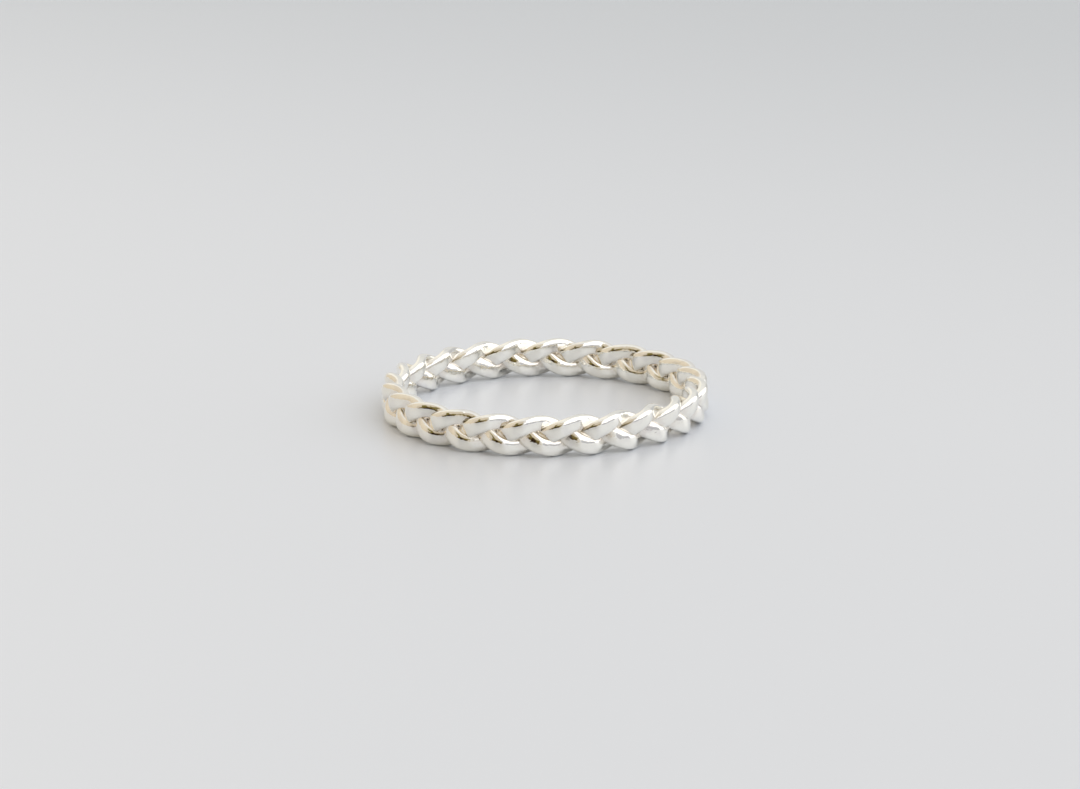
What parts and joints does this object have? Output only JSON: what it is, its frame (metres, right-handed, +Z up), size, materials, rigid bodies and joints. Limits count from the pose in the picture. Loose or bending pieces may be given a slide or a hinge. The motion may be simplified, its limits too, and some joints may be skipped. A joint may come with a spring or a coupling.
{
  "type": "braided band ring",
  "caption": "Finger ring: a closed flat plait of polished silver strands, lying on its side.",
  "frame": {"origin": "centre of the ring, on the surface that its lower edge rests on", "axes": "+Z up along the finger hole; -Y towards the viewer in the picture; +X to the viewer's right"},
  "size_m": [0.0202, 0.0202, 0.0024],
  "materials": {
    "silver": "polished"
  },
  "bodies": {
    "root": {"strand_1": "silver", "strand_2": "silver", "strand_3": "silver"}
  },
  "joints": []
}
